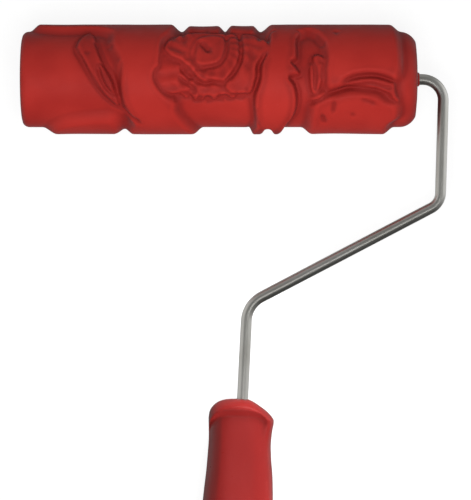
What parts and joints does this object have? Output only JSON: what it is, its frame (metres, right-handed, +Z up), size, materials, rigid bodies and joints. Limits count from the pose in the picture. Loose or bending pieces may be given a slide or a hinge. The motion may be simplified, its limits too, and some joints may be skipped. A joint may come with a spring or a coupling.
{
  "type": "textured pattern roller",
  "caption": "Hand-held pattern roller: a rubber sleeve with raised roses, leaves and stems turns on a bent steel rod with a moulded plastic handle and a threaded pole socket.",
  "frame": {"origin": "middle of the tool's box, on the table that it lies on", "axes": "+X along the roller towards the rod's drop, +Y from the handle towards the roller, +Z up from the table"},
  "size_m": [0.1945, 0.2962, 0.05],
  "materials": {
    "sleeve_rubber": "soft satin moulded rubber, red",
    "cap_plastic": "satin moulded plastic, red like the sleeve",
    "handle_plastic": "satin moulded plastic, red",
    "rod_steel": "drawn bright steel wire",
    "zinc_steel": "zinc-plated pressed steel",
    "tube_plastic": "extruded grey plastic tube",
    "bush_nylon": "natural nylon",
    "socket_plastic": "black moulded plastic"
  },
  "bodies": {
    "frame": {"wire_frame": "rod_steel", "handle": "handle_plastic", "pole_socket": "socket_plastic", "thrust_washer_inner": "zinc_steel", "thrust_washer_outer": "zinc_steel", "push_nut": "zinc_steel"},
    "roller": {"pattern_sleeve": "sleeve_rubber", "core_tube": "tube_plastic", "end_cap_left": "cap_plastic", "end_cap_right": "cap_plastic", "bearing_bush_left": "bush_nylon", "bearing_bush_right": "bush_nylon", "hub_plug": "cap_plastic"}
  },
  "joints": [
    {"name": "roller_spin", "type": "hinge", "parent": "frame", "child": "roller", "pos_m": [0, 0.12307, 0.025], "axis": [1, 0, 0], "continuous": true}
  ]
}
